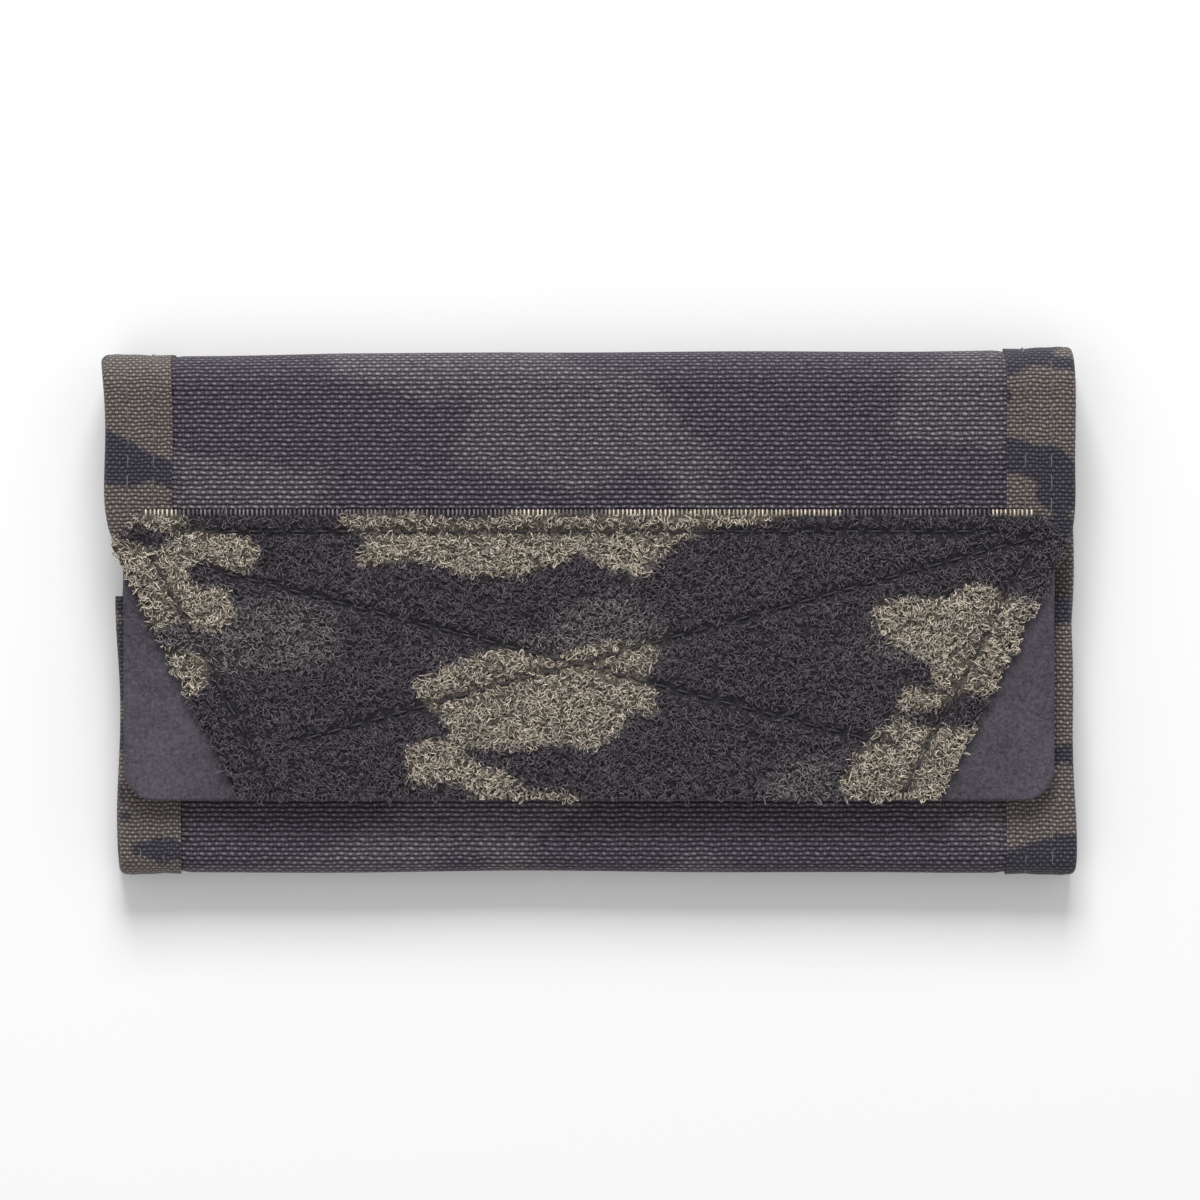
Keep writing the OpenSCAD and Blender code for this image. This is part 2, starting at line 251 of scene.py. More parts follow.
def plain_weave(u, v, across, along, reach=0.45, slim=1.2, warp_share=0.5):
    """Height of a plain weave, 0 to 1. Each weft yarn runs along u and rises as a rounded
    dash over every other warp yarn; the next yarn along v is shifted by one. Each warp yarn
    runs along v and rises where the weft dives. reach lengthens the dashes, slim narrows
    the yarns, and warp_share is the warp's height beside the weft's."""
    row_turn = (v * (1 / along)).math("FLOOR") * math.pi
    column_turn = (u * (1 / across)).math("FLOOR") * math.pi
    weft_rise = (u * (math.pi / across) + row_turn).math("SINE")
    warp_rise = (v * (math.pi / along) + column_turn).math("SINE") * -1.0
    weft_round = (v * (math.pi / along)).math("SINE").math("ABSOLUTE").math("POWER", slim)
    warp_round = (u * (math.pi / across)).math("SINE").math("ABSOLUTE").math("POWER", slim)
    weft = ((weft_rise + reach).math("MAXIMUM", 0.0) * (1 / (1 + reach))).math("POWER", 0.7)
    warp = (warp_rise + 0.25).math("MAXIMUM", 0.0) * (warp_share / 1.25)
    return (weft * weft_round).math("MAXIMUM", warp * warp_round)


warp_pitch = 0.54
weft_pitch = 0.654
shell_cloth, tree, shader = new_material("coated_pack_cloth", roughness=0.6)
u, v, place = flat_place(tree)
uneven = cloudy(tree, place, 0.5, detail=4)
jitter = cloudy(tree, place, 1.1, detail=2)
height = plain_weave(u + uneven * 0.9, v + uneven * 0.6, warp_pitch, weft_pitch,
                     reach=0.85, slim=1.8, warp_share=0.36)
# The weave's gaps are painted near black as painted shade between the yarns, and its crowns
# lighter as a painted highlight.
crown_shading = height * (jitter * 2.2 - 0.05)
ground = dyed(tree, crown_shading, colour_of(10, 5, 11), colour_of(132, 123, 139))
faded = dyed(tree, crown_shading, colour_of(30, 25, 30), colour_of(160, 153, 158))
tree.links.new(dyed(tree, point_value(tree, "print"), ground, faded),
               shader.inputs["Base Color"])
raised(tree, shader, height, 0.30)


def camouflage(x, y, size, level, seed, edge):
    """A plain blob camouflage, 0 to 1. Seeded waves of many lengths and headings, the
    longer ones stronger and all drawn out along X, are added up, and the cloth is coloured
    where their sum, in units of its usual spread, passes a level. size is the usual
    length of a blob and edge the softness of its border, in millimetres."""
    chance = np.random.default_rng(seed)
    full_turn, waves_added = 2 * math.pi, 48
    heading, octave, phase = chance.uniform((0, -0.6, 0), (full_turn, 3.2, full_turn),
                                            (waves_added, 3)).T
    turns = 2.0**octave
    strength = turns**-1.4
    rate = full_turn * turns / size
    x, y = np.broadcast_arrays(x, y)
    waves = np.cos(np.multiply.outer(x, rate * np.cos(heading) * 0.7)
                   + np.multiply.outer(y, rate * np.sin(heading) * 1.3) + phase)
    total = waves @ strength / math.sqrt((strength**2).sum() / 2)
    return np.clip((total - level) * size / 6 / edge + 0.5, 0, 1)


def put_mesh(name, points, faces, material, values=None, sharp=50):
    """Makes a mesh from points in millimetres and face rows, turned outwards if its signed
    volume is negative. values are named arrays, one number or vector for each point."""
    points = np.asarray(points, float).reshape(-1, 3) / 1000
    volume = 0
    for rows in faces:
        first, rest = points[rows[:, 0]], rows[:, 1:]
        for k in range(rest.shape[1] - 1):
            volume += np.einsum("ij,ij->", first,
                                np.cross(points[rest[:, k]], points[rest[:, k + 1]]))
    turned = [rows[:, ::-1] if volume < 0 else rows for rows in faces]
    mesh = bpy.data.meshes.new(name)
    mesh.from_pydata(points.tolist(), [], [row for rows in turned for row in rows.tolist()])
    mesh.polygons.foreach_set("use_smooth", np.ones(len(mesh.polygons), bool))
    mesh.set_sharp_from_angle(angle=math.radians(sharp))
    for label, value in (values or {}).items():
        value = np.asarray(value, np.float32)
        kind = "FLOAT" if value.ndim == 1 else "FLOAT_VECTOR"
        slot = mesh.attributes.new(label, kind, "POINT")
        slot.data.foreach_set("value" if kind == "FLOAT" else "vector", value.ravel())
    mesh.materials.append(material)
    piece = bpy.data.objects.new(name, mesh)
    bpy.context.scene.collection.objects.link(piece)
    return piece


def grid_faces(rows, columns, start=0):
    """Quads of a grid of points, row by row."""
    corner = (np.arange(rows - 1)[:, None] * columns + np.arange(columns - 1)).ravel() + start
    return np.stack([corner, corner + columns, corner + columns + 1, corner + 1], 1)


def closed_sheet(*layers):
    """Points and faces of a closed sheet: grids of one shape stacked in layers, the first
    and last filled, with a wall from each layer's border to the next one's."""
    rows, columns = layers[0].shape[:2]
    count = rows * columns
    index = np.arange(count).reshape(rows, columns)
    rim = np.concatenate([index[:-1, 0], index[-1, :-1], index[:0:-1, -1], index[0, :0:-1]])
    wall = np.stack([rim, np.roll(rim, -1), np.roll(rim, -1) + count, rim + count], 1)
    last = len(layers) - 1
    faces = [grid_faces(rows, columns)[:, ::-1], grid_faces(rows, columns, last * count)]
    points = np.concatenate([layer.reshape(-1, 3) for layer in layers])
    return points, [np.concatenate(faces + [wall + k * count for k in range(last)])]


def bend_with(piece, stretch):
    """Bakes a piece's placement into its mesh points."""
    first, second, _, _, start, finish = stretches[stretch]
    start[0] / 1000
    start[1] / 1000
    finish[0] / 1000
    finish[1] / 1000
    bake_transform(piece)


def stations(stretch, spacing):
    """Places along a stretch at even spacing, and its end, as a column."""
    _, _, start, finish, _, _ = stretches[stretch]
    return np.append(np.arange(start, finish, spacing), finish)[:, None]


def strip_sheet(name, stretch, stands_for, x, s, faces_of, material, shown=None):
    """Makes one stretch of a sheet that runs the strip's length. x is its flat place across
    and s along, faces_of its outer and inner face, and shown its print. It stands for the
    CAD nodes whose names start with stands_for."""
    points, faces = closed_sheet(*faces_of)
    flat = np.stack(np.broadcast_arrays(x, s, 0), -1).reshape(-1, 3)
    values = {"cloth": np.tile(flat, (2, 1))}
    if shown is not None:
        values["print"] = np.tile(shown.ravel(), 2)
    piece = put_mesh(f"{name}_{stretch}", points, faces, material, values)
    bend_with(piece, stretch)
    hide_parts(*[f"{stands_for}_{node}" for node in stretch_nodes[stretch]])


shell_half, shell_outer, shell_inner = 57.5, 0.22, 0.78
for stretch in stretches:
    s = stations(stretch, 0.45)
    x = np.linspace(-shell_half, shell_half, 116)[None, :]
    under_tape = 0.34 * np.clip((np.abs(x) - tape_edge + 1.2) / 1.5, 0, 1)
    outer = lay(x, s, shell_outer + under_tape)
    inner = lay(x, s, shell_inner + under_tape)
    strip_sheet("shell_cloth", stretch, "shell", x, s, (outer, inner), shell_cloth,
                0.75 * camouflage(x, s, 30, 0.35, 31, 2.4))

# ---------------------------------------------------------------------------
# Bill lining: thin, dense nylon, coated on its hidden side. It is caught in the left
# tape and stops short of the right edge, where notes go in behind it.
# ---------------------------------------------------------------------------
lining_edge = node_box("lining_back")[1][0]
lining_cloth, tree, shader = new_material("lining_cloth", roughness=0.5, sheen=0.05)
u, v, place = flat_place(tree)
height = plain_weave(u, v, 0.30, 0.32)
streak = cloudy(tree, place, 0.4, detail=5)
# The weave's gaps are painted darker as painted shade between the yarns, over a random streaky
# tone.
tree.links.new(dyed(tree, height * 0.8 + (streak - 0.5) * 0.9, colour_of(24, 21, 27),
                    colour_of(78, 72, 82)), shader.inputs["Base Color"])
raised(tree, shader, height + streak * 0.8, 0.09)
lining_outer, lining_inner = 1.18, 1.5
for stretch in stretches:
    s = stations(stretch, 0.8)
    x = np.linspace(-half_width + 1.0, lining_edge, 80)[None, :]
    ripple = 0.05 * np.sin(x / 5 + s / 4)
    faces_of = lay(x, s, lining_outer + ripple), lay(x, s, lining_inner + ripple)
    strip_sheet("lining_cloth", stretch, "lining", x, s, faces_of, lining_cloth)

# ---------------------------------------------------------------------------
# Edge tapes: ribbed woven nylon tape folded round the cloth's edges and sewn through.
# The print is taupe and navy charcoal, hard edged. The right tape binds the shell alone,
# and a second, narrower fold binds the lining's free edge.
# ---------------------------------------------------------------------------
tape_weave, tree, shader = new_material("ribbed_edge_tape", roughness=0.72, sheen=0.1)
u, v, place = flat_place(tree)
drift = cloudy(tree, place, 0.5, detail=3)
fleck = cloudy(tree, place, 2.1, detail=1)
height = plain_weave(u + drift * 0.3, v + drift * 0.8, 0.44, 0.54, reach=0.7, slim=1.0,
                     warp_share=0.42)
# The tape's gaps are painted dark as painted shade between the yarns, and its crowns lighter as
# a painted highlight, under the taupe and navy print.
crown_shading = height * (fleck * 1.4 + 0.45)
navy = dyed(tree, crown_shading, colour_of(7, 5, 12), colour_of(92, 88, 102))
taupe = dyed(tree, crown_shading, colour_of(20, 15, 15), colour_of(154, 143, 138))
tree.links.new(dyed(tree, point_value(tree, "print"), navy, taupe), shader.inputs["Base Color"])
raised(tree, shader, height, 0.26)


def tape_fold(out_x, in_x, depth, thickness, steps):
    """Outer and inner outline of tape folded round an edge, in the plane of x and depth: a
    leg out along the face, a half-round over the edge, and a leg back. Returns both
    outlines, and the distance along the tape."""
    radius = depth / 2
    leg = np.linspace(in_x, out_x - radius, steps)
    turn = np.linspace(-math.pi / 2, math.pi / 2, 12)[1:-1]
    centre_x = out_x - radius

    def outline(inset):
        arc_x = centre_x + (radius - inset) * np.cos(turn)
        arc_d = radius + (radius - inset) * np.sin(turn)
        x = np.concatenate([leg, arc_x, leg[::-1]])
        d = np.concatenate([np.full(steps, inset), arc_d, np.full(steps, depth - inset)])
        return np.stack([x, d], 1)

    outer, inner = outline(0), outline(thickness)
    along = np.concatenate([[0], np.cumsum(np.linalg.norm(np.diff(outer, axis=0), axis=1))])
    return outer, inner, along


# Rows of stitches, by their distance from the fold, and the length of one stitch.
stitch_rows, stitch_length = (3.2, 6.7), 2.9
# The left tape folds over shell and lining together, the right one over the shell alone.
tape_depths = {"left": 2.05, "right": 1.65}
side_signs = {"left": -1, "right": 1}
for side_name, depth in tape_depths.items():
    side = side_signs[side_name]
    outer, inner, along = tape_fold(half_width, tape_edge, depth, 0.42, 22)
    facing = np.where(outer[:, 1] < depth / 2, 1, -1)
    dimple = sum(0.24 * np.exp(-((half_width - outer[:, 0] - row) / 0.6) ** 2)
                 for row in stitch_rows)
    for stretch in stretches:
        s = stations(stretch, 0.48)
        pinch = facing * dimple * (0.6 + 0.4 * np.cos(s * 2 * math.pi / stitch_length))
        lifted = 0.07 * np.sin(s / 2.1 + outer[:, 0] / 1.7) * (outer[:, 0] < half_width - 1.5)
        skin = lay(side * outer[:, 0], s, outer[:, 1] + pinch * 0.8 + facing * lifted)
        under = lay(side * inner[:, 0], s, inner[:, 1] + pinch * 0.3 + facing * lifted)
        strip_sheet(f"tape_{side_name}", stretch, f"binding_{side_name}", along, s,
                    (skin, under), tape_weave,
                    camouflage(along, s, 19, -0.15, 34 + side, 0.3))

lining_tape_out = node_box("lining_binding_back")[1][0]
lining_tape_in = node_box("lining_binding_back")[0][0]
lining_tape_top = 0.74
outer, inner, along = tape_fold(lining_tape_out, lining_tape_in, 1.3, 0.36, 14)
for stretch in stretches:
    s = stations(stretch, 0.5)
    faces_of = [lay(face[:, 0], s, lining_tape_top + face[:, 1]) for face in (outer, inner)]
    strip_sheet("lining_tape", stretch, "lining_binding", along, s, faces_of, tape_weave,
                camouflage(along, s, 19, 0.05, 36, 0.3))

# Tape across the lower panel's free edge, folded over shell and lining together.
x = np.linspace(-tape_edge + 0.3, lining_tape_in - 0.2, 90)[:, None]
outer, inner, along = tape_fold(0, -7.5, 2.25, 0.4, 14)


def across_end(x, outline):
    """The folded outline stood across the lower panel's end: its own length along -Y from
    the free edge, its depth down from just above the cloth's face."""
    y = lower_end + outline[:, 0] + 0.1 * np.sin(x / 6)
    z = lower_face + 0.3 - outline[:, 1]
    return np.stack(np.broadcast_arrays(x, y, z), -1)


points, faces = closed_sheet(across_end(x, outer), across_end(x, inner))
flat = np.stack(np.broadcast_arrays(along, x, 0), -1).reshape(-1, 3)
taupe_at = camouflage(along, x, 19, 0.05, 37, 0.3).ravel()
end_tape = put_mesh("tape_lower_end", points, faces, tape_weave,
                    {"cloth": np.tile(flat, (2, 1)), "print": np.tile(taupe_at, 2)})
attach(end_tape, "lower_panel")
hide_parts("end_binding_lower")

# ---------------------------------------------------------------------------
# Card pockets and ID pocket: three nylon sheets, each sewn down on three sides and open
# towards +X, with a turned hem at the mouth. The top one holds a clear vinyl window.
# ---------------------------------------------------------------------------
pocket_half = (node_box("card_pocket_rear")[1][1] - node_box("card_pocket_rear")[0][1]) / 2
closed_end = node_box("card_pocket_rear")[0][0]
window_low, window_high = node_box("id_window")
seam_fall, pocket_thick, window_lap = 2.2, 0.24, 0.6


def pocket_skin(x, y, top, base, mouth):
    """Height of a pocket sheet: level inside, falling in a quarter-round to the sheet below
    at its three sewn sides, and rising a little to its hem at the mouth."""
    to_seam = np.minimum(np.minimum(x - closed_end, pocket_half - np.abs(y)), seam_fall)
    shoulder = np.sqrt(np.clip(1 - (1 - to_seam / seam_fall) ** 2, 0, 1))
    hem = 0.07 * np.clip((x - mouth + 3.5) / 0.4, 0, 1)
    sag = 0.12 * np.sin((x - closed_end) / 14) * np.cos(y / 16)
    return base + (top - base) * shoulder + hem - 0.1 + sag * shoulder * 0.5


for node in ("card_pocket_rear", "card_pocket_front", "id_pocket"):
    low, high = node_box(node)
    mouth, base, top = high[0], low[2], high[2]
    x = np.linspace(closed_end, mouth, 110)[:, None]
    y = np.linspace(-pocket_half, pocket_half, 64)[None, :]
    if node == "id_pocket":
        x = np.unique(np.append(x, [window_low[0], window_high[0]]))[:, None]
        y = np.unique(np.append(y, [window_low[1], window_high[1]]))[None, :]
    z = pocket_skin(x, y, top, base, mouth)
    outer = np.stack(np.broadcast_arrays(x, y, z), -1)
    inner = outer - np.array([0, 0, pocket_thick])
    points, faces = closed_sheet(outer, inner)
    flat_area = (mouth - closed_end) * 2 * pocket_half
    flat = np.tile(np.stack(np.broadcast_arrays(x, y, 0), -1).reshape(-1, 3), (2, 1))
    if node == "id_pocket":
        # The window is cut out, and its edge closed with a wall between the two faces.
        middle = points[faces[0]].mean(1)
        holed = np.all((middle[:, :2] > window_low[:2]) & (middle[:, :2] < window_high[:2]), 1)
        kept = faces[0][~holed]
        count = outer.shape[0] * outer.shape[1]
        edges = np.stack([kept, np.roll(kept, -1, 1)], -1).reshape(-1, 2)
        code, partner = edges @ [2 * count, 1], edges @ [1, 2 * count]
        lone = edges[~np.isin(partner, code) & (edges[:, 0] < count)]
        walls = np.concatenate([lone[:, ::-1], lone + count], 1)
        used, faces = np.unique(np.concatenate([kept, walls]), return_inverse=True)
        points, flat, faces = points[used], flat[used], [faces.reshape(-1, 4)]
        flat_area -= np.prod(window_high[:2] - window_low[:2])
    piece = put_mesh(f"{node}_cloth", points, faces, shell_cloth,
                     {"cloth": flat, "print": np.zeros(len(points))})
    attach(piece, "back")
    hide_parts(node)

clear_vinyl, tree, shader = new_material("clear_vinyl", roughness=0.14)
shader.inputs["Base Color"].default_value = (0.30, 0.32, 0.35, 1)
shader.inputs["Alpha"].default_value = 0.13
shader.inputs["Specular IOR Level"].default_value = 0.8
ripple = cloudy(tree, flat_place(tree)[2], 0.1, detail=0)
raised(tree, shader, ripple, 0.8, 0.3)
x = np.linspace(window_low[0] - window_lap, window_high[0] + window_lap, 60)[:, None]
y = np.linspace(window_low[1] - window_lap, window_high[1] + window_lap, 44)[None, :]
z = window_low[2] - 0.28 + 0.08 * np.sin(x / 9) * np.cos(y / 8)
outer = np.stack(np.broadcast_arrays(x, y, z), -1)
points, faces = closed_sheet(outer, outer - np.array([0, 0, 0.15]))
window = put_mesh("id_window_vinyl", points, faces, clear_vinyl,
                  {"cloth": np.tile(outer.reshape(-1, 3), (2, 1))})
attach(window, "back")
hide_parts("id_window")

# ---------------------------------------------------------------------------
# Hook panel: the closure's stiff half. Its back is a smooth matte coating, its lower
# corners are rounded, and its underside carries rows of small moulded hooks.
# ---------------------------------------------------------------------------
coated_back, tree, shader = new_material("coated_hook_backing", roughness=0.56)
_, _, place = flat_place(tree)
grain = cloudy(tree, place, 2.4, detail=2, rough=0.8)
patchy = cloudy(tree, place, 0.08, detail=3)
tint = (grain - 0.5) * 1.9 + patchy
tree.links.new(dyed(tree, tint, colour_of(44, 38, 45), colour_of(95, 90, 101)),
               shader.inputs["Base Color"])
raised(tree, shader, grain, 0.05, 0.8)
low, high = node_box("hook_panel")
panel_half, corner, hook_root = high[0], 4.3, low[2] + 0.62


def panel_half_width(y):
    """Half width of the panel at a height along Y: full, then a quarter-round corner."""
    short = np.clip((low[1] + corner - y) / corner, 0, 1)
    return panel_half - corner * (1 - np.sqrt(1 - short**2))


def panel_grid(inset, z):
    """The panel's outline drawn in by inset, as a grid in which every row spans its
    outline's width, at height z with a slight spring in the free corners."""
    down = 1 - (1 - np.linspace(0, 1, 60)[:, None]) ** 1.6
    y = high[1] - inset - (high[1] - low[1] - 2 * inset) * down
    x = np.linspace(-1, 1, 150)[None, :] * (panel_half_width(y) - inset)
    spring = -0.25 * np.clip(np.abs(x) / panel_half - 0.75, 0, 1) * (y < -10)
    return np.stack(np.broadcast_arrays(x, y, z + spring), -1)


rim = [panel_grid(0.35, high[2]), panel_grid(0.1, high[2] - 0.1), panel_grid(0, high[2] - 0.35)]
lower_rim = [panel_grid(0.0, low[2] + 0.75), panel_grid(0.15, hook_root)]
points, faces = closed_sheet(*rim, *lower_rim)
hook_backing = put_mesh("hook_backing", points, faces, coated_back, {"cloth": points})
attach(hook_backing, "flap")

hook_field_x = np.arange(-panel_half + 3, panel_half - 2.5, 1.3)
hook_field_y = np.arange(low[1] + 2.5, high[1] - 1.5, 1.05)
root = np.stack(np.meshgrid(hook_field_x, hook_field_y), -1).reshape(-1, 2)
# A hook is a straight stalk for the first part of its length, then a round curl.
turn = np.linspace(0, 1, 6)
stalk_share, stalk, curl = 0.4, 0.34, 0.17
bend_angle = np.clip(turn - stalk_share, 0, 1) / (1 - stalk_share) * 3.6
reach = np.where(turn < stalk_share, 0, curl * (1 - np.cos(bend_angle)))
drop = np.where(turn < stalk_share, turn / stalk_share * stalk,
                stalk + curl * np.sin(bend_angle))
lean = np.where((np.arange(len(root)) // len(hook_field_x)) % 2, 1.0, -1.0)
centre = np.stack(np.broadcast_arrays(
    root[:, None, 0], root[:, None, 1] + lean[:, None] * reach, hook_root - drop), -1)
outline = np.array([(-0.07, -0.07), (0.07, -0.07), (0.0, 0.09)])


def headings(centre):
    """Unit tangents of a row of paths."""
    tangent = np.gradient(centre, axis=1)
    return tangent / np.linalg.norm(tangent, axis=-1, keepdims=True)


def tube_faces(count, steps, sides):
    """Quads round and along a row of equal tubes, and a face on each end."""
    tube = np.arange(count)[:, None, None] * steps * sides
    station = np.arange(steps - 1)[None, :, None] * sides
    here = np.arange(sides)[None, None, :]
    ahead = (here + 1) % sides
    quads = np.stack([tube + station + here, tube + station + ahead,
                      tube + station + sides + ahead, tube + station + sides + here], -1)
    first = np.arange(count)[:, None] * steps * sides + np.arange(sides)[::-1]
    last = first[:, ::-1] + (steps - 1) * sides
    return [quads.reshape(-1, 4), first, last]


second = np.cross(headings(centre), [1.0, 0, 0])
ring = (centre[:, :, None] + outline[:, 0, None] * np.array([1.0, 0, 0])
        + outline[:, 1, None] * second[:, :, None])
hook_plastic, tree, shader = new_material("moulded_hooks", roughness=0.4)
tree.links.new(dyed(tree, cloudy(tree, flat_place(tree)[2], 0.6), colour_of(24, 23, 27),
                    colour_of(46, 44, 50)), shader.inputs["Base Color"])
hooks = put_mesh("hook_field", ring, tube_faces(len(root), len(turn), 3), hook_plastic,
                 {"cloth": ring.reshape(-1, 3)})
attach(hooks, "flap")
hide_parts("hook_panel")

# ---------------------------------------------------------------------------
# Loop patch: a six-sided piece of wide loop tape, cut with its woven selvedges at top
# and bottom, printed with camouflage, and sewn over the flap's end and the hook panel.
# The pile is thousands of crimped nylon loops on a dark woven ground.
# ---------------------------------------------------------------------------
low, high = node_box("loop_patch")
patch_low_y, patch_top_y, patch_tip = low[1], high[1], high[0]
patch_low_half, patch_top_half = 46.0, 58.6


def patch_half_width(y):
    """Half width of the patch: slanting in above and below its side points."""
    return np.interp(y, [patch_low_y, flap_end, patch_top_y],
                     [patch_low_half, patch_tip, patch_top_half])


def patch_ground(y):
    """Height of the patch's underside: level on the hook panel, then up the flap's slope."""
    return closure_face + np.clip(y - flap_end, 0, None) * flap_rise


def printed(x, y):
    """How tan the print is, and how far it fades to grey, each 0 to 1."""
    return camouflage(x, y, 26, 0.5, 23, 0.5), camouflage(x, y, 30, 0.9, 22, 4.0)


# The rows of stitches, each from one end to the other.
diagonals = [((-51, 5.8), (39.6, -17.6)), ((58, 9.5), (-38, -17))]
row_inset = 4.5
side_rows = [((side * (patch_low_half - row_inset), patch_low_y + 1),
              (side * (patch_tip - row_inset), flap_end)) for side in (-1, 1)]
top_row = [((-54, flap_end + 1.5), (54, flap_end + 1.5))]
patch_rows = diagonals + side_rows + top_row


def sewn_down(x, y):
    """How deeply the pile is pressed down, 0 to 1, by its distance from the stitch rows."""
    pressed = np.zeros(np.shape(x))
    for (ax, ay), (bx, by) in patch_rows:
        length = math.hypot(bx - ax, by - ay)
        along = ((x - ax) * (bx - ax) + (y - ay) * (by - ay)) / length
        off = ((x - ax) * (by - ay) - (y - ay) * (bx - ax)) / length
        here = np.exp(-((off / 0.8) ** 2)) * ((along > -1) & (along < length + 1))
        pressed = np.maximum(pressed, here)
    return pressed


pile_ground, tree, shader = new_material("loop_ground_cloth", roughness=0.9, sheen=0.1)
_, _, place = flat_place(tree)
crimp = cloudy(tree, place, 2.6, detail=3, rough=0.7)
# The ground cloth is painted near black where its crimp bump is low, as painted shade in the
# pits among the loops.
contrast = (crimp - 0.5) * 3.2 + 0.45
dark = dyed(tree, contrast, colour_of(14, 11, 15), colour_of(70, 64, 72))
grey = dyed(tree, contrast, colour_of(20, 17, 21), colour_of(92, 87, 92))
tan = dyed(tree, contrast, colour_of(30, 25, 23), colour_of(150, 140, 126))
faded = dyed(tree, point_value(tree, "grey"), dark, grey)
tree.links.new(dyed(tree, point_value(tree, "print"), faded, tan), shader.inputs["Base Color"])
raised(tree, shader, contrast, 0.35)

y = np.linspace(patch_low_y, patch_top_y, 92)[:, None]
rough_cut = 0.12 * np.sin(y * 3.1 + 1) + 0.08 * np.sin(y * 7.3)
x = np.linspace(-1, 1, 270)[None, :] * (patch_half_width(y) + rough_cut)
to_edge = np.minimum(np.minimum(y - patch_low_y, patch_top_y - y),
                     (patch_half_width(y) - np.abs(x)) * 0.9)
thick = 0.35 + 0.45 * np.clip((to_edge - 0.8) / 0.8, 0, 1)
top = patch_ground(y) + thick - 0.42 * sewn_down(x, y)
outer = np.stack(np.broadcast_arrays(x, y, top), -1)
inner = np.stack(np.broadcast_arrays(x, y, patch_ground(y) - 0.02), -1)
points, faces = closed_sheet(outer, inner)
tan_at, grey_at = printed(outer[..., 0].ravel(), outer[..., 1].ravel())
patch_cloth = put_mesh("loop_patch_ground", points, faces, pile_ground,
                       {"cloth": points, "print": np.tile(tan_at, 2),
                        "grey": np.tile(grey_at, 2)})
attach(patch_cloth, "flap")
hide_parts("loop_patch")

pile_fibre, tree, shader = new_material("crimped_loop_fibre", roughness=0.62, sheen=0.2)
# Each fibre runs from near black to its print colour by its tone and shade: painted shade low
# in the pile, painted highlight at the tops.
fibre_tone_and_shade = point_value(tree, "fibre_tone_and_shade")
dark = dyed(tree, fibre_tone_and_shade, colour_of(15, 12, 16), colour_of(118, 109, 120))
grey = dyed(tree, fibre_tone_and_shade, colour_of(28, 24, 28), colour_of(164, 156, 160))
tan = dyed(tree, fibre_tone_and_shade, colour_of(70, 62, 57), colour_of(250, 238, 218))
faded = dyed(tree, point_value(tree, "grey"), dark, grey)
tree.links.new(dyed(tree, point_value(tree, "print"), faded, tan), shader.inputs["Base Color"])


def round_thread(centre, flank, third, radius, sides):
    """Rings round a row of paths: radius times the cosine of an even turn along flank, plus
    its sine along third."""
    angle = np.arange(sides) * 2 * math.pi / sides
    return centre[:, :, None] + radius * (np.cos(angle)[:, None] * flank
                                          + np.sin(angle)[:, None] * third)


def crimped_loops(name, roots, ground, heights, seed, tan_at, grey_at):
    """Loops of fibre standing on a cloth. Each is most of a circle in an upright plane of
    its own heading, leaned over and pulled out of that plane by a slow twist, and swept as
    a three-sided thread. roots are places in plan, ground the cloth's height there, and
    tan_at and grey_at the print's amounts there."""
    chance = np.random.default_rng(seed)
    count, steps, sides = len(roots), 7, 3
    heading = chance.uniform(0, 2 * math.pi, count)
    width = chance.uniform(0.18, 0.40, count)
    lean = chance.normal(0, 0.8, (count, 2)) * heights[:, None]
    phase = np.linspace(-2.4, 2.4, steps)[None, :]
    rise = (np.cos(phase) - math.cos(2.4)) / (1 - math.cos(2.4))
    across = np.sin(phase) * width[:, None]
    twist = np.sin(phase * chance.uniform(0.8, 1.8, (count, 1))
                   + chance.uniform(0, 6, (count, 1))) * 0.16
    forward = np.stack([np.cos(heading), np.sin(heading)], 1)[:, None]
    aside = np.stack([-np.sin(heading), np.cos(heading)], 1)[:, None]
    plan = (roots[:, None] + forward * across[..., None] + aside * twist[..., None]
            + lean[:, None] * rise[..., None])
    up = ground[:, None] + heights[:, None] * rise - 0.08
    centre = np.concatenate([plan, up[..., None]], -1)
    tangent = headings(centre)
    flank = np.cross(tangent, np.concatenate([forward, np.zeros((count, 1, 1))], -1) + 1e-3)
    flank /= np.linalg.norm(flank, axis=-1, keepdims=True)
    third = np.cross(tangent, flank)
    radius = chance.uniform(0.055, 0.085, count)[:, None, None, None]
    ring = round_thread(centre, flank[:, :, None], third[:, :, None], radius, sides)
    # A loop's tone differs at random, and it darkens towards its roots as painted shade down in
    # the pile and lightens at its top as a painted highlight.
    fibre_tone_and_shade = np.clip(chance.normal(0.62, 0.24, (count, 1)), 0.05, 1) * (0.35 + 0.65 * rise)
    fibre_tone_and_shade = np.repeat(fibre_tone_and_shade, sides, axis=1)
    spread = np.ones((count, steps * sides))
    piece = put_mesh(name, ring, tube_faces(count, steps, sides), pile_fibre,
                     {"print": (tan_at[:, None] * spread).ravel(),
                      "grey": (grey_at[:, None] * spread).ravel(),
                      "fibre_tone_and_shade": fibre_tone_and_shade.ravel()}, sharp=180)
    return piece


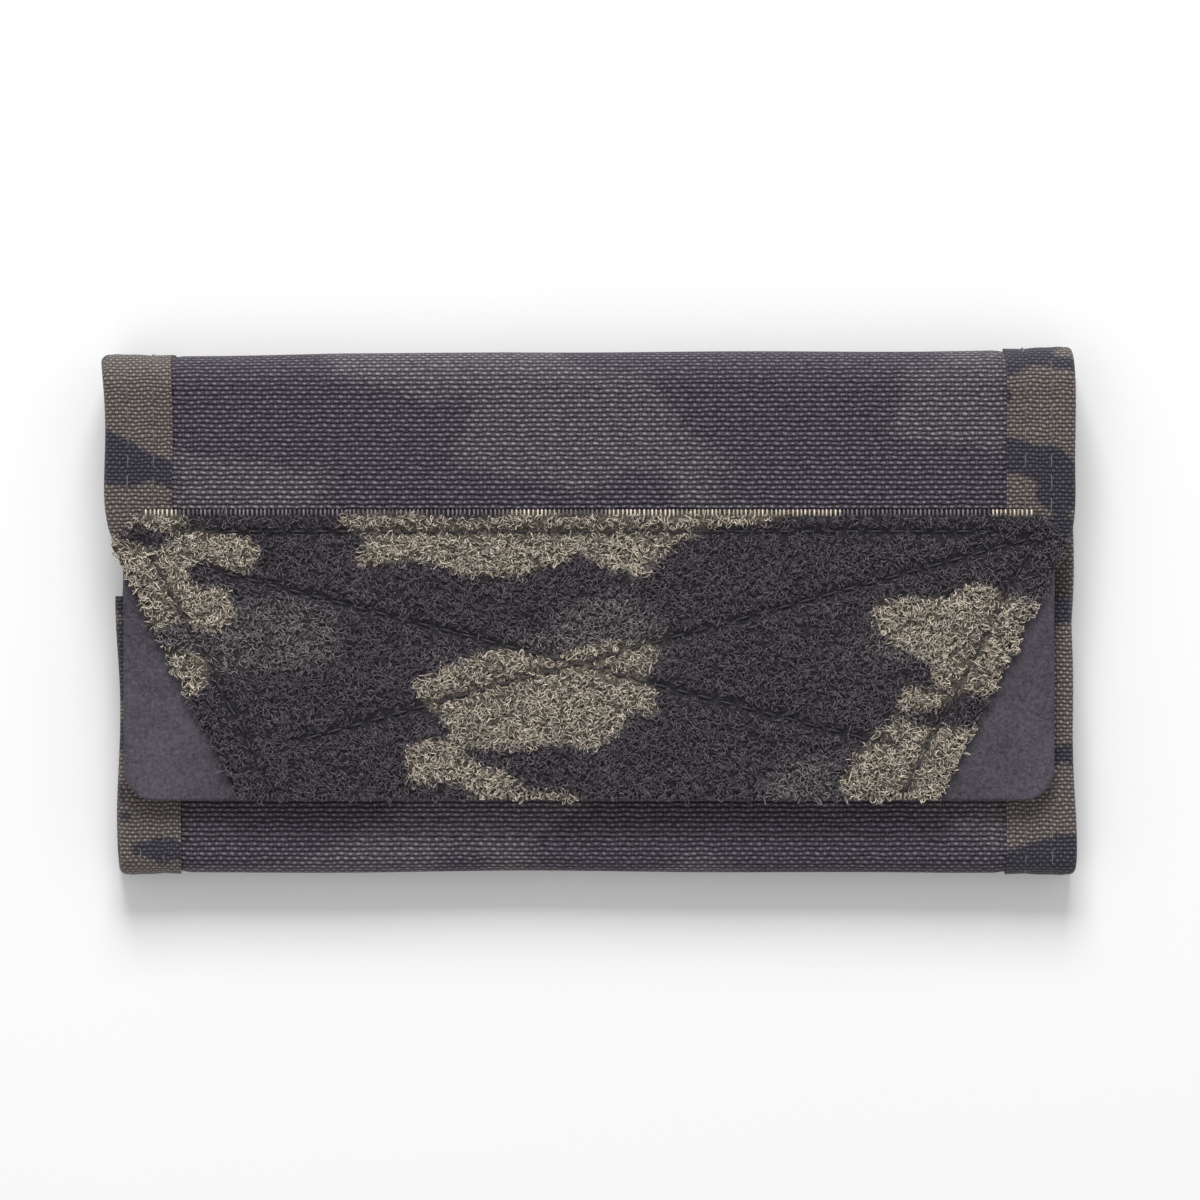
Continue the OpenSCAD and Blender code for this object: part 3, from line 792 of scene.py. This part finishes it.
for part in range(6):
    chance = np.random.default_rng(40 + part)
    spot = chance.uniform((-patch_tip, patch_low_y + 0.1), (patch_tip, patch_top_y - 1.0),
                          (5700, 2))
    spot = spot[np.abs(spot[:, 0]) < patch_half_width(spot[:, 1]) + 0.1]
    pressed = sewn_down(spot[:, 0], spot[:, 1])
    kept = chance.uniform(0, 1, len(spot)) > 0.72 * pressed
    spot, pressed = spot[kept], pressed[kept]
    clump = 0.5 + 0.5 * np.sin(spot[:, 0] * 1.9 + 2 * np.sin(spot[:, 1] * 1.3)) * np.sin(
        spot[:, 1] * 2.2 + 2 * np.sin(spot[:, 0] * 1.1))
    base = patch_ground(spot[:, 1]) + 0.66 - 0.4 * pressed
    tall = (0.25 + 0.3 * clump + chance.uniform(0, 0.25, len(spot))) * (1 - 0.7 * pressed)
    pile = crimped_loops(f"loop_pile_{part}", spot, base, tall, 60 + part,
                         *printed(spot[:, 0], spot[:, 1]))
    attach(pile, "flap")

# The selvedge along the patch's top and bottom: close ribs of ground yarn turned over.
rib_x = np.arange(-patch_top_half + 0.3, patch_top_half - 0.3, 0.56)
rib_low_x = np.arange(-patch_low_half + 0.3, patch_low_half - 0.3, 0.56)
root = np.concatenate([np.stack([rib_x, np.full(len(rib_x), patch_top_y)], 1),
                       np.stack([rib_low_x, np.full(len(rib_low_x), patch_low_y)], 1)])
into = np.where(root[:, 1] > 0, -1.0, 1.0)
rib_steps, rib_sides = 7, 5
turn = np.linspace(0, math.pi, rib_steps)
reach = into[:, None] * (1.0 - np.cos(turn)) * 0.42
centre = np.stack(np.broadcast_arrays(root[:, None, 0] + 0.05 * np.sin(root[:, None, 0] * 9),
                                      root[:, None, 1] + reach,
                                      patch_ground(root[:, None, 1]) + 0.12
                                      + 0.34 * np.sin(turn)), -1)
flank = np.array([1.0, 0, 0])
third = np.cross(headings(centre), flank)[:, :, None]
ring = round_thread(centre, flank, third, 0.13, rib_sides)
tan_at, _ = printed(root[:, 0], root[:, 1])
chance = np.random.default_rng(9)
# Each rib's tone differs at random, and the ribs of the bottom selvedge are darker.
fibre_tone_and_shade = chance.uniform(0.3, 0.9, (len(root), 1)) * np.where(into > 0, 0.4, 1)[:, None]
spread = np.ones((len(root), rib_steps * rib_sides))
selvedge = put_mesh("loop_patch_selvedge", ring, tube_faces(len(root), rib_steps, rib_sides),
                    pile_fibre, {"print": (tan_at[:, None] * spread).ravel(),
                                 "grey": (0.5 * spread).ravel(),
                                 "fibre_tone_and_shade": (fibre_tone_and_shade * spread).ravel()}, sharp=180)
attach(selvedge, "flap")

# ---------------------------------------------------------------------------
# Mating loop strip: plain charcoal loop tape sewn across the outside of the lower
# panel, under the closed hook panel.
# ---------------------------------------------------------------------------
low, high = node_box("loop_strip")
x = np.linspace(low[0], high[0], 160)[None, :]
y = np.linspace(low[1], high[1], 30)[:, None]
top = low[2] + 0.3 + 0.1 * np.sin(x * 2) * np.sin(y * 2)
outer = np.stack(np.broadcast_arrays(x, y, top), -1)
inner = np.stack(np.broadcast_arrays(x, y, low[2] - 0.1), -1)
points, faces = closed_sheet(outer, inner)
strip_ground = put_mesh("loop_strip_ground", points, faces, pile_ground,
                        {"cloth": points, "print": np.zeros(len(points)),
                         "grey": np.zeros(len(points))})
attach(strip_ground, "lower_panel")
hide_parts("loop_strip")
chance = np.random.default_rng(5)
spot = chance.uniform(low[:2] + 0.3, high[:2] - 0.3, (3300, 2))
strip_pile = crimped_loops("loop_strip_pile", spot, np.full(len(spot), low[2] + 0.3),
                           chance.uniform(0.22, 0.5, len(spot)), 6,
                           np.zeros(len(spot)), np.zeros(len(spot)))
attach(strip_pile, "lower_panel")

# ---------------------------------------------------------------------------
# Lockstitching: bonded nylon thread, 2.9 mm a stitch. Each stitch is a short bowed
# length of thread whose ends dive into the cloth.
# ---------------------------------------------------------------------------
thread, tree, shader = new_material("bonded_thread", roughness=0.45, sheen=0.15)
ply = cloudy(tree, flat_place(tree)[2], 5.0, detail=1)
tree.links.new(dyed(tree, ply * point_value(tree, "pale"), colour_of(42, 40, 48),
                    colour_of(176, 172, 172)), shader.inputs["Base Color"])


def stitches(name, starts, ends, normals, pale, thickness=0.3, sink=0.1):
    """Stitches between pairs of points: each follows the chord, bowed up along its normal by
    a half sine and sunk at the ends, swept as a five-sided thread with drawn-in ends."""
    count, steps, sides = len(starts), 7, 5
    t = np.linspace(0.06, 0.94, steps)
    bow = np.sin(t * math.pi) ** 0.7
    centre = (starts[:, None] + (ends - starts)[:, None] * t[:, None]
              + normals[:, None] * (bow * (thickness * 0.5 + sink) - sink)[:, None])
    forward = (ends - starts) / np.linalg.norm(ends - starts, axis=1, keepdims=True)
    flank = np.cross(forward, normals)[:, None]
    swell = (thickness / 2 * (0.55 + 0.45 * np.sin(t * math.pi)))[:, None, None]
    ring = round_thread(centre, flank[:, :, None], normals[:, None, None], swell, sides)
    spread = np.ones((count, steps * sides))
    piece = put_mesh(name, ring, tube_faces(count, steps, sides), thread,
                     {"cloth": ring.reshape(-1, 3), "pale": (pale * spread).ravel()}, sharp=180)
    return piece


def row_between(first, last, gap=0.22):
    """Start and end points of the stitches in a straight row between two points."""
    first, last = np.array(first, float), np.array(last, float)
    count = max(1, int(round(np.linalg.norm(last - first) / stitch_length)))
    number = np.arange(count)[:, None]
    step = (last - first) / count
    return first + step * number, first + step * (number + 1 - gap)


def stitch_batch(name, ends, normals, pale, thickness, sink=0.1):
    """Stitches from a list of pairs of arrays, each pair a row's starts and ends. A single
    normal stands for all of them."""
    begin, finish_at = (np.concatenate(points) for points in zip(*ends))
    if np.ndim(normals) == 1:
        normals = np.tile(normals, (len(begin), 1))
    return stitches(name, begin, finish_at, normals, pale, thickness, sink)


for stretch, (_, _, start, finish, _, _) in stretches.items():
    count = int((finish - start) / stitch_length)
    step = (finish - start) / count
    s0 = start + 0.2 + np.arange(count) * (finish - start) / count
    s1 = s0 + step * 0.8
    ends, normals = [], []
    for side_name, depth in tape_depths.items():
        for row in stitch_rows:
            for level, outwards in ((0.1, -1), (depth - 0.1, 1)):
                at_x = side_signs[side_name] * (half_width - row)
                here, there = lay(at_x, s0, level), lay(at_x, s1, level)
                normal = lay(at_x, (s0 + s1) / 2, level + outwards) - (here + there) / 2
                ends.append((here, there))
                normals.append(normal / np.linalg.norm(normal, axis=1, keepdims=True))
    piece = stitch_batch(f"tape_stitches_{stretch}", ends, np.concatenate(normals), 0.6, 0.22)
    bend_with(piece, stretch)
    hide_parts(*[f"stitches_{node}" for node in stretch_nodes[stretch]])

up = np.array([0, 0, 1.0])
ends = [row_between((*first, 0), (*last, 0)) for first, last in patch_rows]
for here, there in ends:
    for points in (here, there):
        points[:, 2] = patch_ground(points[:, 1]) + 0.5
# The patch's thread gets little paleness, so it reads dark: painted shade of the grooves where
# the pile is pressed down.
patch_thread = stitch_batch("patch_stitches_thread", ends, up, 0.12, 0.3, 0.2)
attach(patch_thread, "flap")
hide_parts("patch_stitches")

low, high = node_box("stitch_row_lower")
row_y = (low[1] + high[1]) / 2
ends = [row_between((low[0], row_y, low[2] - 0.15), (high[0], row_y, low[2] - 0.15))]
lower_thread = stitch_batch("lower_row_thread", ends, up, 0.35, 0.24)
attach(lower_thread, "lower_panel")
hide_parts("stitch_row_lower")


def pocket_row(first, last, node):
    """A row of stitches over a pocket's sheet, from first to last in plan."""
    low, high = node_box(node)
    row = row_between((*first, 0), (*last, 0))
    for ends in row:
        ends[:, 2] = pocket_skin(ends[:, 0], ends[:, 1], high[2], low[2], high[0])
    return row


ends = []
for node in ("card_pocket_rear", "card_pocket_front", "id_pocket"):
    mouth = node_box(node)[1][0]
    side_y, end_y = pocket_half - 1.2, pocket_half - 2
    ends += [pocket_row((closed_end + 1.0, -side_y), (mouth - 1, -side_y), node),
             pocket_row((closed_end + 1.0, side_y), (mouth - 1, side_y), node),
             pocket_row((mouth - 3.2, -end_y), (mouth - 3.2, end_y), node),
             pocket_row((closed_end + 1.2, -end_y), (closed_end + 1.2, end_y), node)]
frame_low, frame_high = window_low[:2] - 2.2, window_high[:2] + 2.2
corners = [(frame_low[0], frame_low[1]), (frame_high[0], frame_low[1]),
           (frame_high[0], frame_high[1]), (frame_low[0], frame_high[1])]
ends += [pocket_row(first, last, "id_pocket")
         for first, last in zip(corners, corners[1:] + corners[:1])]
pocket_thread = stitch_batch("pocket_stitches", ends, up, 0.6, 0.26)
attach(pocket_thread, "back")

# ---------------------------------------------------------------------------
# Table, light and camera: a plain white sweep, one broad light from beyond the top fold,
# a weak fill, and a long lens straight above the wallet.
# ---------------------------------------------------------------------------
paper, tree, shader = new_material("white_paper", roughness=0.9)
shader.inputs["Base Color"].default_value = (0.98, 0.98, 0.98, 1)
bpy.ops.mesh.primitive_plane_add(size=6, location=(0, 0, -0.0002))
floor = bpy.context.object
floor.name = "floor"
floor.data.materials.append(paper)

scene = bpy.context.scene
scene.view_settings.view_transform = "Standard"
world = bpy.data.worlds.new("studio")
scene.world = world
world.use_nodes = True
world.node_tree.nodes["Background"].inputs["Color"].default_value = (1, 1, 1, 1)
world.node_tree.nodes["Background"].inputs["Strength"].default_value = 0.49


def softbox(name, place, size, power):
    """A square area light at place, in metres, aimed at the wallet."""
    lamp = bpy.data.lights.new(name, "AREA")
    lamp.size, lamp.energy = size, power
    holder = bpy.data.objects.new(name, lamp)
    x, y, z = place
    holder.location = place
    holder.rotation_euler = (math.atan2(math.hypot(x, y), z), 0, math.atan2(y, x) + math.pi / 2)
    scene.collection.objects.link(holder)


softbox("key", (-0.02, 0.8, 0.6), 0.45, 8.5)
softbox("fill", (-0.3, -0.4, 1.1), 0.8, 1.2)

view_width, stand_off = 0.1579, 1.2
camera = bpy.data.cameras.new("camera")
camera.sensor_width = 36
camera.lens = 36 * stand_off / view_width
camera.clip_end = 20
eye = bpy.data.objects.new("camera", camera)
eye.location = (0.00145, 0.00145, stand_off + 0.0105)
scene.collection.objects.link(eye)
scene.camera = eye
